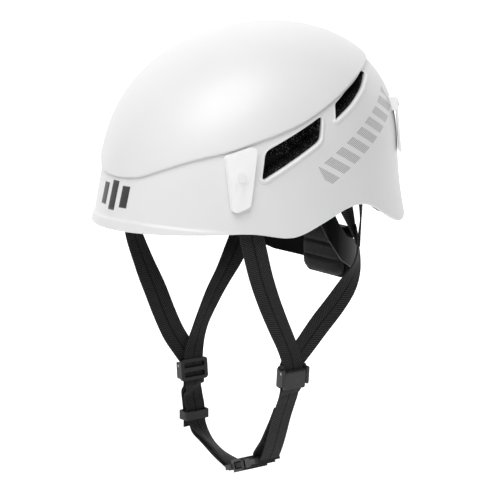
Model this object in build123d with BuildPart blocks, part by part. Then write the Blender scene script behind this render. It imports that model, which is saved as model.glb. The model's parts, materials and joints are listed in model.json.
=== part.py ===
"""Climbing helmet: hard shell with foam liner, fit cradle, webbing harness and chin buckle.

Millimetres. +Z is up, the brow points along -Y and the wearer's left is +X.
The origin is the middle of the head opening, level with the lowest point of the ear lobes.
"""
from build123d import *
from math import atan2, cos, pi, radians, sin, sqrt, tan
import os

os.makedirs("parts", exist_ok=True)

# ---- shell form -------------------------------------------------------------
HALF_WIDTH = 105.0        # widest half width of the shell
FRONT_REACH = 152.9       # widest section centre to brow
REAR_REACH = 110.2        # widest section centre to nape
CENTRE_Y = 13.2           # widest section centre
BELT_Z = 45.1             # height where the side walls start to close in
DOME_HEIGHT = 116.0       # belt to crown
SQUARENESS = 2.0          # exponent of the plan outline
DOME_POWER = 2.73         # exponent of the dome profile
EGG = 0.07                # the front is narrower than the rear by this share
FRONT_FLARE = 26.0        # outward lean of the brow, mm per 100 mm drop
REAR_FLARE = -2.0         # outward lean of the nape, mm per 100 mm drop
REAR_SKIRT = 17.0         # outward sweep of the rear edge, mm at 100 mm below SKIRT_TOP
SKIRT_TOP = 70.0
SHELL_WALL = 2.2
DOME_STEP = 2.6           # how far the upper panel stands proud of the sides
BRIM_STEP = 1.2           # lip round the brow
LINER_GAP = 0.4           # between shell and foam
LINER_WALL = 17.0
LINER_RIM_RISE = 4.0      # the foam stops this far above the shell rim
LINER_FACE = -(SHELL_WALL + LINER_GAP + LINER_WALL)

# ---- temples and fit cradle -------------------------------------------------
PIVOT_Y = 10.0
PIVOT_Z = 30.0
STUD_R = 3.0
STUD_CLEARANCE = 0.05
ARM_T = 2.0
DIAL_Z = -36.0
DIAL_R = 19.0
GEAR_MODULE = 1.0
GEAR_TEETH = 12
PRESSURE_ANGLE = radians(20)
GEAR_BACKLASH = 0.16
RACK_Y = 75.9             # front face of both racks
RACK_T = 2.6
RACK_ADDENDUM = 0.6
RACK_DEDENDUM = 1.25
HOUSING_HALF_W = 28.0
HOUSING_LOW = -58.0
HOUSING_TOP = -14.0
HOUSING_FRONT = 72.0
HOUSING_REAR = 79.0
COVER_T = 1.5

# ---- webbing ----------------------------------------------------------------
WEB_W = 20.0
WEB_T = 1.6
HARNESS_Y = -19.0         # side adjusters
HARNESS_X = 70.0
LEFT_DROP = -120.0        # height of the left adjuster
RIGHT_DROP = -144.0
SIDE_LEAN = 0.09          # the side straps close in by this much per mm of drop
ADJUSTER_W = 28.0
ADJUSTER_H = 19.0
ADJUSTER_T = 3.0

# ---- chin buckle ------------------------------------------------------------
BUCKLE_AT = (3.5, -9.0, -213.0)
BUCKLE_AXIS = (0.9322, 0.0, 0.3621)
BUCKLE_W = 26.0
BUCKLE_T = 11.0

RING_POINTS = 16
DOME_LEVELS = (0, 0.25, 0.45, 0.62, 0.76, 0.87, 0.94, 0.975, 0.993, 0.999)


def write(piece, name):
    """Label a finished piece and write its STEP file."""
    piece.part.label = name
    export_step(piece.part, f"parts/{name}.step")


# ---- shell surfaces ---------------------------------------------------------
def ring_point(angle, z, grow):
    """A point of the shell's outline at height z; angle 0 is the wearer's left."""
    c, s = cos(angle), sin(angle)
    rise = min(max((z - BELT_Z) / (DOME_HEIGHT + grow), 0), 1)
    shrink = sqrt(max(0, 1 - rise**DOME_POWER))
    if s > 0:
        grow += REAR_SKIRT * s * (2 - s) * (max(SKIRT_TOP - z, 0) / 100) ** 2
    square = (abs(c) ** SQUARENESS + abs(s) ** SQUARENESS) ** (-1 / SQUARENESS)
    reach, flare, side = (FRONT_REACH, FRONT_FLARE, -1) if s < 0 else (REAR_REACH, REAR_FLARE, 1)
    lean = flare * s * s * (BELT_Z - z) / 100
    x = (HALF_WIDTH + grow) * square * c * shrink * (1 - EGG * s * square)
    y = (reach + grow) * square * s * shrink + side * lean * shrink
    return x, CENTRE_Y + y


def hull(grow, bottom=-30.0):
    """Closed body bounded by the shell form, moved outwards by grow."""
    crown = DOME_HEIGHT + grow
    heights = [bottom + (BELT_Z - bottom) * share for share in (0, 0.25, 0.5, 0.75)]
    heights += [BELT_Z + crown * level for level in DOME_LEVELS]
    with BuildPart() as body:
        for z in heights:
            with BuildSketch(Plane.XY.offset(z)):
                with BuildLine():
                    step = 2 * pi / RING_POINTS
                    Spline(*[ring_point(k * step, z, grow) for k in range(RING_POINTS)], periodic=True)
                make_face()
        loft()
    return body.part


def side_x(y, z, grow):
    """Half width of the shell form, moved outwards by grow, at a given y and z."""
    low, high = -pi / 2, pi / 2
    for _ in range(40):
        mid = (low + high) / 2
        if ring_point(mid, z, grow)[1] < y:
            low = mid
        else:
            high = mid
    return ring_point(low, z, grow)[0]


def side_prism(points, x_from, x_to, corner=0.0):
    """Solid between two x planes whose outline is drawn in the side view, as (y, z)."""
    with BuildPart() as prism:
        with BuildSketch(Plane.YZ.offset(x_from)) as outline:
            with BuildLine():
                Polyline(*points, close=True)
            make_face()
            if corner:
                fillet(outline.vertices(), corner)
        extrude(amount=x_to - x_from)
    return prism.part


RIM_LINE = [
    (-185, 5), (-78, 6), (-66, 4.8), (-53, 1.8), (-42, 0), (-33, 1.2), (-18, 7.4), (-0.3, 14.8), (13, 20.2),
    (26, 22.2), (35, 20.7), (45, 16.8), (60, 8.3), (74, 1.7), (84, -1.2), (95, -0.8), (103, 1), (110, 3.5),
    (118, 5.5), (130, 6.5), (160, 7),
]
CREASE_LINE = [
    (-185, 44), (-139.4, 45), (-133.7, 50), (-121, 58.7), (-105, 66.1), (-86, 71), (-67.4, 78.2),
    (-49.6, 83.9), (-26.7, 92.2), (-4.7, 102.9), (5.5, 107.9), (31, 120.7), (51.2, 128.3), (77, 135.6),
    (95, 139), (130, 142),
]
BRIM_LINE = [(-185, 14.6), (-145.6, 14.4), (-118.7, 11), (-100.3, 9.2), (-80, 6.4)]
VENT_FRONT = [(-61.5, 70.9), (-9.7, 96.4), (-14.5, 76.5), (-65.3, 46.9)]
VENT_REAR = [(4.5, 103.9), (19, 112.8), (50, 126.3), (54.4, 123.3), (41, 113.5), (21.3, 101.5), (2, 90.9)]
FAR = 140.0               # beyond the shell on every side


def below_rim(rise):
    """Everything below the rim line, raised by rise."""
    line = [(y, z + rise) for y, z in RIM_LINE]
    return side_prism(line + [(160, -70), (-185, -70)], -FAR, FAR)


def vent_cutters(half_inner):
    """The four vent openings as prisms from half_inner outwards, both sides."""
    with BuildPart() as cutters:
        for points, corner in ((VENT_FRONT, 3.5), (VENT_REAR, 1.2)):
            add(side_prism(points, half_inner, FAR, corner))
            add(side_prism(points, -FAR, -half_inner, corner))
    return cutters.part


VENTS = vent_cutters(30)


def stepped_hull(grow, crease_rise, bottom):
    """The shell form moved outwards by grow, with the raised upper panel on top."""
    upper = side_prism([(y, z + crease_rise) for y, z in CREASE_LINE] + [(130, 200), (-185, 200)], -FAR, FAR)
    with BuildPart() as panel:
        add(hull(grow + DOME_STEP, bottom + 1))
        add(upper, mode=Mode.INTERSECT)
    with BuildPart() as body:
        add(hull(grow, bottom))
        add(panel.part)
    return body.part


def make_outer_shell():
    brow = side_prism(BRIM_LINE + [(-80, -20), (-185, -20)], -FAR, FAR)
    with BuildPart() as lip:
        add(hull(BRIM_STEP, -28))
        add(brow, mode=Mode.INTERSECT)
    cavity = stepped_hull(-SHELL_WALL, 3, -36)
    with BuildPart() as shell:
        add(stepped_hull(0, 0, -30))
        add(lip.part)
        add(cavity, mode=Mode.SUBTRACT)
        add(below_rim(0), mode=Mode.SUBTRACT)
        add(VENTS, mode=Mode.SUBTRACT)
    write(shell, "outer_shell")


# ---- things let into the liner ----------------------------------------------
BUSH_R = 6.0
BUSH_FLANGE_R = 9.0
BUSH_FLANGE_X = side_x(PIVOT_Y, PIVOT_Z, LINER_FACE) - 2.4
BUSH_END_X = BUSH_FLANGE_X + 15.0
FRONT_ANCHOR_Y = -67.0
ANCHOR_SLOT_T = 7.0
PLUG_Y = -30.0
PLUG_Z = 39.0
PLUG_R = 2.5


def web_x(z):
    """x of the outer face of the left side webbing at height z."""
    return HARNESS_X + SIDE_LEAN * (z - LEFT_DROP)


def x_cylinder(x_from, x_to, y, z, radius):
    """Cylinder along X between two x planes."""
    with BuildPart() as rod:
        with BuildSketch(Plane.YZ.offset(x_from)):
            with Locations((y, z)):
                Circle(radius)
        extrude(amount=x_to - x_from)
    return rod.part


def liner_pockets():
    """Left side pockets of the foam: strap slot, temple bush and headband plug."""
    with BuildPart() as pockets:
        slot_x = web_x(10) - 1
        with Locations((slot_x, FRONT_ANCHOR_Y, 10)):
            Box(ANCHOR_SLOT_T, WEB_W + 6, 60)
        add(x_cylinder(40, BUSH_END_X + 0.2, PIVOT_Y, PIVOT_Z, BUSH_R + 0.1))
        add(x_cylinder(40, BUSH_FLANGE_X + 1.8, PIVOT_Y, PIVOT_Z, BUSH_FLANGE_R + 0.3))
        plug_x = side_x(PLUG_Y, PLUG_Z, LINER_FACE)
        add(x_cylinder(40, plug_x + 10, PLUG_Y, PLUG_Z, PLUG_R + 0.1))
    return pockets.part


def make_foam_liner():
    pockets = liner_pockets()
    with BuildPart() as liner:
        add(stepped_hull(-SHELL_WALL - LINER_GAP, 4, -32))
        add(hull(LINER_FACE, -38), mode=Mode.SUBTRACT)
        add(below_rim(LINER_RIM_RISE), mode=Mode.SUBTRACT)
        add(VENTS, mode=Mode.SUBTRACT)
        add(pockets, mode=Mode.SUBTRACT)
        add(pockets.mirror(Plane.YZ), mode=Mode.SUBTRACT)
    write(liner, "foam_liner")


def inner_layer(outer_grow, inner_grow, region):
    """A sheet that follows the liner's inner face inside a region."""
    with BuildPart() as layer:
        add(hull(outer_grow, -37))
        add(hull(inner_grow, -39), mode=Mode.SUBTRACT)
        add(region, mode=Mode.INTERSECT)
    return layer


def make_headband_and_pads():
    face = LINER_FACE
    band_zone = side_prism([(-185, 30), (PLUG_Y - 8, 32), (PLUG_Y + 7, 32), (PLUG_Y + 7, 46),
                            (PLUG_Y - 8, 46), (-185, 50)], -FAR, FAR)
    band = inner_layer(face - 0.5, face - 2.0, band_zone)
    plug_x = side_x(PLUG_Y, PLUG_Z, face)
    with BuildPart() as headband:
        add(band.part)
        for side in (1, -1):
            hole = x_cylinder(40, 100, PLUG_Y, PLUG_Z, PLUG_R + 0.1)
            add(hole if side > 0 else hole.mirror(Plane.YZ), mode=Mode.SUBTRACT)
    write(headband, "headband")

    with BuildPart() as plugs:
        for side in (1, -1):
            stem = x_cylinder(plug_x - 3.6, plug_x + 9, PLUG_Y, PLUG_Z, PLUG_R)
            head = x_cylinder(plug_x - 5.4, plug_x - 3.6, PLUG_Y, PLUG_Z, 5)
            add(stem if side > 0 else stem.mirror(Plane.YZ))
            add(head if side > 0 else head.mirror(Plane.YZ))
    write(plugs, "headband_plugs")

    brow_zone = side_prism([(-185, 26), (-72, 27), (-66, 36), (-72, 52), (-185, 54)], -FAR, FAR)
    write(inner_layer(face - 2.4, face - 8.0, brow_zone), "forehead_pad")

    with BuildPart() as crown_zone:
        with BuildSketch(Plane.XY.offset(60)):
            with Locations((0, 8)):
                RectangleRounded(56, 96, 24)
        extrude(amount=140)
    write(inner_layer(face - 0.5, face - 6.5, crown_zone.part), "crown_pad")

    side_zone = side_prism([(-52, 52), (-12, 52), (-12, 66), (-40, 66)], 30, FAR, 4)
    side_pad = inner_layer(face - 0.5, face - 6.0, side_zone)
    write(side_pad, "side_pad_left")
    with BuildPart() as side_pad_right:
        add(side_pad.part.mirror(Plane.YZ))
    write(side_pad_right, "side_pad_right")


# ---- headlamp clips ---------------------------------------------------------
FRONT_CLIP = [(-91.5, 68), (-69.1, 76.2), (-75.9, 28.4), (-88.8, 22.5)]
FRONT_RIVET_AT = (-79.9, 50.7)
REAR_CLIP_ANGLE = 52.0    # position round the shell, from the wearer's left to the rear
REAR_CLIP_LOW = 55.5
REAR_CLIP_TOP = 102.0
REAR_CLIP_W = 22.0
REAR_CLIP_T = 2.0
REAR_CLIP_ROOT = 12.0      # height of the block that joins the bar to the shell


def clip_sheet(low, high, zone):
    """Part of a sheet lying between two offsets of the shell form."""
    with BuildPart() as sheet:
        add(hull(high))
        add(hull(low, -34), mode=Mode.SUBTRACT)
        add(zone, mode=Mode.INTERSECT)
    return sheet.part


def make_front_clips():
    plate_zone = side_prism(FRONT_CLIP, 40, FAR, 3)
    foot = [(-90.6, 65), (-70.8, 72), (-73.5, 46), (-88.4, 43)]
    y, z = FRONT_RIVET_AT
    surface_x = side_x(y, z, 0)
    normal = (0.89, -0.44, 0.12)
    rivet_plane = Plane(origin=(surface_x, y, z), z_dir=normal)
    with BuildPart() as rivet_hole:
        with BuildSketch(rivet_plane.offset(-12)):
            Circle(2.1)
        extrude(amount=24)
    with BuildPart() as boss:
        with BuildSketch(rivet_plane.offset(1)):
            Circle(6)
        extrude(amount=3.4)
    with BuildPart() as clip:
        add(clip_sheet(1.3, 4.0, plate_zone))
        add(clip_sheet(0.1, 1.4, side_prism(foot, 40, FAR, 3)))
        add(boss.part)
        add(rivet_hole.part, mode=Mode.SUBTRACT)
    write(clip, "front_clip_left")
    with BuildPart() as right:
        add(clip.part.mirror(Plane.YZ))
    write(right, "front_clip_right")
    with BuildPart() as rivets:
        with BuildSketch(rivet_plane.offset(4.5)):
            Circle(4)
        extrude(amount=0.6)
        with BuildSketch(rivet_plane.offset(0.2)):
            Circle(2)
        extrude(amount=4.4)
        add(rivets.part.mirror(Plane.YZ))
    write(rivets, "front_clip_rivets")


def rear_wall(z):
    """Distance of the shell from the upright axis in the middle plane of the rear clip."""
    angle = radians(REAR_CLIP_ANGLE)
    x, y = ring_point(angle, z, 0)
    return x * cos(angle) + (y - CENTRE_Y) * sin(angle)


def rear_bar(z):
    """Distance of the rear clip's outer face from the upright axis."""
    share = (z - REAR_CLIP_LOW) / (REAR_CLIP_TOP - REAR_CLIP_LOW)
    low, high = rear_wall(REAR_CLIP_LOW) + 2.6, rear_wall(REAR_CLIP_TOP) + 6.6
    return low + (high - low) * share


def make_rear_clips():
    low, top, thick = REAR_CLIP_LOW, REAR_CLIP_TOP, REAR_CLIP_T
    root = top - REAR_CLIP_ROOT
    angle = radians(REAR_CLIP_ANGLE)
    out, across = (cos(angle), sin(angle), 0), (sin(angle), -cos(angle), 0)
    middle = Plane(origin=(0, CENTRE_Y, 0), x_dir=out, z_dir=across)
    with BuildPart() as clip:
        with BuildSketch(middle.offset(-REAR_CLIP_W / 2)) as profile:
            with BuildLine():
                Polyline(
                    (rear_wall(top) - 6, top), (rear_bar(top), top), (rear_bar(low), low),
                    (rear_bar(low) - thick, low), (rear_bar(root) - thick, root),
                    (rear_wall(root) - 6, root), close=True,
                )
            make_face()
            fillet(profile.vertices().group_by(Axis.Y)[0], 0.8)
            fillet(profile.vertices().group_by(Axis.Y)[-1].sort_by(Axis.X)[-1], 2.5)
        extrude(amount=REAR_CLIP_W)
        add(hull(0.1, -34), mode=Mode.SUBTRACT)
    write(clip, "rear_clip_left")
    with BuildPart() as right:
        add(clip.part.mirror(Plane.YZ))
    write(right, "rear_clip_right")
    slope = (rear_bar(low) - rear_bar(top)) / (top - low)
    rivet_z = top - REAR_CLIP_ROOT / 2
    reach = rear_bar(rivet_z) + 0.1
    with BuildPart() as left_rivets:
        for shift in (-6, 6):
            x, y = (reach * out[axis] + shift * across[axis] for axis in (0, 1))
            with BuildSketch(Plane(origin=(x, CENTRE_Y + y, rivet_z), z_dir=(out[0], out[1], slope))):
                Circle(2.6)
            extrude(amount=0.6)
    with BuildPart() as rivets:
        add(left_rivets.part)
        add(left_rivets.part.mirror(Plane.YZ))
    write(rivets, "rear_clip_rivets")


# ---- temple bushes and fit cradle -------------------------------------------
ARM_PLAN = [(34.6, 78.5), (51, 65.5), (63, 45), (70, 24), (72, 9)]
ARM_SIDE = [(82, -22), (60, -18), (46, -13), (34, -1), (21, 18), (18, 30), (2, 26), (6, 10), (20, -12),
            (38, -32), (58, -43), (82, -50)]
ARM_FACE_X = 72.0
EYE_R = 8.0
STUD_LENGTH = 15.0


def make_temple_bushes():
    with BuildPart() as bush:
        add(x_cylinder(BUSH_FLANGE_X, BUSH_FLANGE_X + 1.6, PIVOT_Y, PIVOT_Z, BUSH_FLANGE_R))
        add(x_cylinder(BUSH_FLANGE_X, BUSH_END_X, PIVOT_Y, PIVOT_Z, BUSH_R))
        bore = x_cylinder(BUSH_FLANGE_X - 1, BUSH_END_X - 1.2, PIVOT_Y, PIVOT_Z, STUD_R + STUD_CLEARANCE)
        add(bore, mode=Mode.SUBTRACT)
    with BuildPart() as bushes:
        add(bush.part)
        add(bush.part.mirror(Plane.YZ))
    write(bushes, "temple_bushes")


def rack_strip(pitch_z, side):
    """Straight toothed strip; side 1 has its teeth pointing down, -1 pointing up."""
    pitch = pi * GEAR_MODULE
    half = pitch / 4 - GEAR_BACKLASH / 2
    lean_tip = RACK_ADDENDUM * tan(PRESSURE_ANGLE)
    lean_root = RACK_DEDENDUM * tan(PRESSURE_ANGLE)
    root_z = pitch_z + side * RACK_DEDENDUM
    tip_z = pitch_z - side * RACK_ADDENDUM
    centre_z = root_z + side * 2.4
    with BuildPart() as strip:
        with BuildSketch(Plane.XZ.offset(-RACK_Y - RACK_T)):
            with Locations((side * 10.5, centre_z)):
                Rectangle(50, 4.8)
            for k in range(-4, 5):
                x = (k + 0.5) * pitch
                with BuildLine():
                    Polyline(
                        (x - half - lean_root, root_z + side * 0.2),
                        (x - half + lean_tip, tip_z),
                        (x + half - lean_tip, tip_z),
                        (x + half + lean_root, root_z + side * 0.2),
                        close=True,
                    )
                make_face()
        extrude(amount=RACK_T)
    return strip.part


def wing():
    """Left half of the cradle band, from the nape housing up to the temple."""
    slope = side_prism(ARM_SIDE, 20, 90)
    eye = x_cylinder(20, 90, PIVOT_Y, PIVOT_Z, EYE_R)
    with BuildPart() as outline:
        add(slope)
        add(eye)
    with BuildPart() as band:
        with BuildSketch(Plane.XY.offset(-60)):
            with BuildLine():
                outer = Spline(*ARM_PLAN, tangents=((1, -0.3), (0, -1)))
                inner = Spline(*[(x - ARM_T, y - 0.9) for x, y in ARM_PLAN], tangents=((1, -0.3), (0, -1)))
                Line(outer @ 0, inner @ 0)
                Line(outer @ 1, (ARM_FACE_X, PIVOT_Y - EYE_R))
                Line((ARM_FACE_X, PIVOT_Y - EYE_R), (ARM_FACE_X - ARM_T, PIVOT_Y - EYE_R))
                Line((ARM_FACE_X - ARM_T, PIVOT_Y - EYE_R), inner @ 1)
            make_face()
        extrude(amount=110)
        add(outline.part, mode=Mode.INTERSECT)
    return band.part


def make_arms():
    pitch_r = GEAR_MODULE * GEAR_TEETH / 2
    left_wing = wing()
    for name, side in (("left", 1), ("right", -1)):
        with BuildPart() as arm:
            add(left_wing if side > 0 else left_wing.mirror(Plane.YZ))
            add(rack_strip(DIAL_Z + side * pitch_r, side))
        write(arm, f"cradle_arm_{name}")
        stud_rod = x_cylinder(ARM_FACE_X, ARM_FACE_X + STUD_LENGTH, PIVOT_Y, PIVOT_Z, STUD_R)
        with BuildPart() as stud:
            add(stud_rod if side > 0 else stud_rod.mirror(Plane.YZ))
        write(stud, f"temple_stud_{name}")


def y_cylinder(y_from, y_to, radius, x=0.0, z=DIAL_Z):
    """Cylinder along Y between two y planes."""
    with BuildPart() as rod:
        with BuildSketch(Plane.XZ.offset(-y_to)):
            with Locations((x, z)):
                Circle(radius)
        extrude(amount=y_to - y_from)
    return rod.part


def involute(base_r, t):
    """Point of the involute of a circle at roll angle t."""
    return base_r * (cos(t) + t * sin(t)), base_r * (sin(t) - t * cos(t))


def gear_outline():
    """Closed outline of the pinion, centred on the dial axis, in the XZ plane."""
    pitch_r = GEAR_MODULE * GEAR_TEETH / 2
    base_r = pitch_r * cos(PRESSURE_ANGLE)
    tip_r = pitch_r + GEAR_MODULE * 0.95
    root_r = pitch_r - GEAR_MODULE * 1.05
    roll_tip = sqrt((tip_r / base_r) ** 2 - 1)
    involute_at_pitch = tan(PRESSURE_ANGLE) - PRESSURE_ANGLE
    half_tooth = pi / (2 * GEAR_TEETH) - GEAR_BACKLASH / (2 * pitch_r)
    flank = [(root_r, -half_tooth - involute_at_pitch)]
    for step in range(5):
        x, y = involute(base_r, roll_tip * step / 4)
        flank.append((sqrt(x * x + y * y), atan2(y, x) - half_tooth - involute_at_pitch))
    tooth = flank + [(radius, -angle) for radius, angle in reversed(flank)]
    points = []
    for k in range(GEAR_TEETH):
        turn = 2 * pi * k / GEAR_TEETH + pi / 2
        points += [(r * cos(a + turn), r * sin(a + turn) + DIAL_Z) for r, a in tooth]
    return points


def make_dial():
    cover_rear = HOUSING_REAR + COVER_T
    knob_front = cover_rear + 0.4
    knob_rear = 90.0
    with BuildPart() as pinion:
        with BuildSketch(Plane.XZ.offset(-RACK_Y - RACK_T)):
            with BuildLine():
                Polyline(*gear_outline(), close=True)
            make_face()
        extrude(amount=RACK_T)
        add(y_cylinder(RACK_Y + RACK_T, knob_front + 5, 4.0))
        add(y_cylinder(RACK_Y + 1, knob_front + 6, 1.25), mode=Mode.SUBTRACT)
    write(pinion, "dial_pinion")

    with BuildPart() as spring_seat:
        add(y_cylinder(knob_front - 1, knob_front + 2.4, DIAL_R - 3))
        add(y_cylinder(knob_front - 1, knob_front + 2.4, 6.5), mode=Mode.SUBTRACT)
    with BuildPart() as knob:
        add(y_cylinder(knob_front, knob_rear, DIAL_R))
        fillet(knob.edges().group_by(Axis.Y)[-1], 2.0)
        add(y_cylinder(knob_front - 1, knob_front + 5.1, 4.1), mode=Mode.SUBTRACT)
        add(y_cylinder(knob_front - 1, knob_rear + 1, 1.6), mode=Mode.SUBTRACT)
        add(y_cylinder(knob_rear - 2, knob_rear + 1, 3.4), mode=Mode.SUBTRACT)
        add(spring_seat.part, mode=Mode.SUBTRACT)
        for k in range(16):
            turn = 2 * pi * k / 16
            grip = y_cylinder(knob_front - 1, knob_rear + 1, 2.2, (DIAL_R + 1.2) * cos(turn),
                              DIAL_Z + (DIAL_R + 1.2) * sin(turn))
            add(grip, mode=Mode.SUBTRACT)
    write(knob, "dial_knob")

    with BuildPart() as spring:
        add(y_cylinder(knob_front + 0.5, knob_front + 1.5, 14))
        add(y_cylinder(knob_front, knob_front + 2, 7.0), mode=Mode.SUBTRACT)
        for turn in (0, pi):
            notch = y_cylinder(knob_front, knob_front + 2, 4.0, 12 * cos(turn), DIAL_Z + 12 * sin(turn))
            add(notch, mode=Mode.SUBTRACT)
    write(spring, "dial_detent_spring")

    with BuildPart() as screw:
        add(y_cylinder(RACK_Y + 3, knob_rear - 2, 1.2))
        add(y_cylinder(knob_rear - 2, knob_rear - 0.4, 3.2))
        with BuildSketch(Plane.XZ.offset(-knob_rear - 1)):
            with Locations((0, DIAL_Z)):
                Rectangle(4.4, 0.9)
                Rectangle(0.9, 4.4)
        extrude(amount=2.2, mode=Mode.SUBTRACT)
    write(screw, "dial_screw")


SCREW_SPOTS = [(x, z) for x in (-23, 23) for z in (HOUSING_LOW + 4.6, HOUSING_TOP - 4.6)]


def housing_block(y_from, y_to):
    """Rounded plate of the nape housing between two y planes."""
    with BuildPart() as block:
        with BuildSketch(Plane.XZ.offset(-y_to)):
            with Locations((0, (HOUSING_LOW + HOUSING_TOP) / 2)):
                RectangleRounded(2 * HOUSING_HALF_W, HOUSING_TOP - HOUSING_LOW, 7)
        extrude(amount=y_to - y_from)
    return block.part


def make_nape_housing():
    channel_low, channel_top = DIAL_Z - 12.4, DIAL_Z + 12.4
    with BuildPart() as housing:
        add(housing_block(HOUSING_FRONT, HOUSING_REAR))
        with Locations((0, (RACK_Y - 0.4 + HOUSING_REAR + 1) / 2, (channel_low + channel_top) / 2)):
            Box(80, HOUSING_REAR + 1.4 - RACK_Y, channel_top - channel_low, mode=Mode.SUBTRACT)
        for x, z in SCREW_SPOTS:
            add(y_cylinder(HOUSING_FRONT + 1.5, HOUSING_REAR + 1, 1.15, x, z), mode=Mode.SUBTRACT)
    write(housing, "nape_housing")

    with BuildPart() as cover:
        add(housing_block(HOUSING_REAR + 0.02, HOUSING_REAR + COVER_T))
        add(y_cylinder(HOUSING_REAR - 1, HOUSING_REAR + COVER_T + 1, 4.06), mode=Mode.SUBTRACT)
        for x, z in SCREW_SPOTS:
            add(y_cylinder(HOUSING_REAR - 1, HOUSING_REAR + COVER_T + 1, 1.3, x, z), mode=Mode.SUBTRACT)
    write(cover, "nape_cover")

    with BuildPart() as screws:
        for x, z in SCREW_SPOTS:
            add(y_cylinder(HOUSING_FRONT + 2, HOUSING_REAR + COVER_T + 0.05, 1.1, x, z))
            add(y_cylinder(HOUSING_REAR + COVER_T + 0.05, HOUSING_REAR + COVER_T + 0.35 + 1.0, 2.2, x, z))
    write(screws, "housing_screws")

    with BuildPart() as pad:
        add(housing_block(HOUSING_FRONT - 7.5, HOUSING_FRONT - 0.3))
        fillet(pad.edges().group_by(Axis.Y)[0], 3.0)
    write(pad, "nape_pad")


# ---- webbing ----------------------------------------------------------------
def side_plane(inset):
    """Plane of the left side webbing, its outer face moved inwards by inset."""
    plane = Plane(origin=(web_x(0), 0, 0), x_dir=(0, 1, 0), z_dir=(1, 0, -SIDE_LEAN))
    return plane.offset(-inset)


def web(points, width, inset):
    """Flat webbing in the left side plane along a centre line given as (y, z)."""
    with BuildPart() as strap:
        with BuildSketch(side_plane(inset)):
            with BuildLine():
                Spline(*points)
            trace(line_width=width)
        extrude(amount=-WEB_T)
    return strap.part


def write_side(part, name, side):
    """Write a left side part, or its mirror image for the right side."""
    with BuildPart() as piece:
        add(part if side > 0 else part.mirror(Plane.YZ))
    write(piece, name)


def front_line(drop):
    y = HARNESS_Y
    return [(FRONT_ANCHOR_Y - 1, 24), (FRONT_ANCHOR_Y, 0), (-56, -30), (-35, drop + 46), (y - 5, drop + 14)]


def rear_line(drop):
    y = HARNESS_Y
    return [(46, -14), (44, -38), (25, drop + 54), (y + 9, drop + 20), (y + 5, drop + 14)]


def make_side_harness():
    for name, side, drop in (("left", 1, LEFT_DROP), ("right", -1, RIGHT_DROP)):
        write_side(web(front_line(drop), WEB_W, 0), f"front_strap_{name}", side)
        write_side(web(rear_line(drop), WEB_W, 2.2), f"rear_strap_{name}", side)
        with BuildPart() as yoke:
            add(web([(43, -4), (36, 10), (24, 34)], 12, 4.4))
            add(web([(45, -4), (42.5, 12), (37.5, 33)], 12, 4.4))
        write_side(yoke.part, f"rear_yoke_{name}", side)


def make_anchors():
    with BuildPart() as plate:
        with BuildSketch(side_plane(WEB_T + 0.3)):
            with Locations((FRONT_ANCHOR_Y - 1, 19)):
                RectangleRounded(22, 9, 2)
        extrude(amount=-1.2)
    with BuildPart() as rear_plate:
        with BuildSketch(side_plane(4.4 + WEB_T + 0.3)):
            with Locations((30.5, 31)):
                RectangleRounded(28, 7, 2)
        extrude(amount=-1.2)
    with BuildPart() as plates:
        for part in (plate.part, rear_plate.part):
            add(part)
            add(part.mirror(Plane.YZ))
    write(plates, "strap_anchor_plates")
    with BuildPart() as left_heads:
        for y, z, inset in ((FRONT_ANCHOR_Y - 7, 19, WEB_T + 1.6), (FRONT_ANCHOR_Y + 5, 19, WEB_T + 1.6),
                            (22, 31, 4.4 + WEB_T + 1.6), (39, 31, 4.4 + WEB_T + 1.6)):
            with BuildSketch(side_plane(inset)):
                with Locations((y, z)):
                    Circle(2.6)
            extrude(amount=-1.0)
    with BuildPart() as heads:
        add(left_heads.part)
        add(left_heads.part.mirror(Plane.YZ))
    write(heads, "strap_anchor_rivets")


# ---- side adjusters ---------------------------------------------------------
def adjuster_plane(drop, out):
    """Plane in front of the webbing at a side adjuster, out from its outer face."""
    return Plane(origin=(web_x(LEFT_DROP) + out, HARNESS_Y, drop), x_dir=(0, 1, 0), z_dir=(1, 0, -SIDE_LEAN))


def make_adjusters():
    pin_r = 1.2
    for name, side, drop in (("left", 1, LEFT_DROP), ("right", -1, RIGHT_DROP)):
        shift = SIDE_LEAN * (drop - LEFT_DROP)
        base = adjuster_plane(drop, 0.4 + shift)
        with BuildPart() as frame:
            with BuildSketch(base):
                RectangleRounded(ADJUSTER_W, ADJUSTER_H, 3)
                with Locations((0, 4.2), (0, -4.2)):
                    RectangleRounded(WEB_W + 1, 4.6, 1.2, mode=Mode.SUBTRACT)
            extrude(amount=ADJUSTER_T)
            with BuildSketch(base.offset(ADJUSTER_T - 0.5)):
                with Locations((-ADJUSTER_W / 2 + 1.5, 0), (ADJUSTER_W / 2 - 1.5, 0)):
                    RectangleRounded(3, 15, 1.2)
            extrude(amount=5.0)
            pin_at = base.from_local_coords((0, 4, ADJUSTER_T + 2.0))
            hole_plane = Plane(origin=pin_at, x_dir=(0, 0, 1), z_dir=(0, 1, 0))
            with BuildSketch(hole_plane.offset(-20)):
                Circle(pin_r)
            extrude(amount=40, mode=Mode.SUBTRACT)
        write_side(frame.part, f"adjuster_frame_{name}", side)

        with BuildPart() as pin:
            with BuildSketch(hole_plane.offset(-ADJUSTER_W / 2 + 0.3)):
                Circle(pin_r - 0.01)
            extrude(amount=ADJUSTER_W - 0.6)
        write_side(pin.part, f"adjuster_pin_{name}", side)

        with BuildPart() as lever:
            with BuildSketch(hole_plane.offset(-ADJUSTER_W / 2 + 3.4)):
                Circle(1.85)
            extrude(amount=ADJUSTER_W - 6.8)
            with BuildSketch(base.offset(ADJUSTER_T + 1.9)):
                with Locations((0, -3.4)):
                    RectangleRounded(ADJUSTER_W - 6.8, 14, 1.5)
            extrude(amount=2.2)
            with BuildSketch(hole_plane.offset(-20)):
                Circle(pin_r + 0.05)
            extrude(amount=40, mode=Mode.SUBTRACT)
        write_side(lever.part, f"adjuster_lever_{name}", side)


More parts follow.
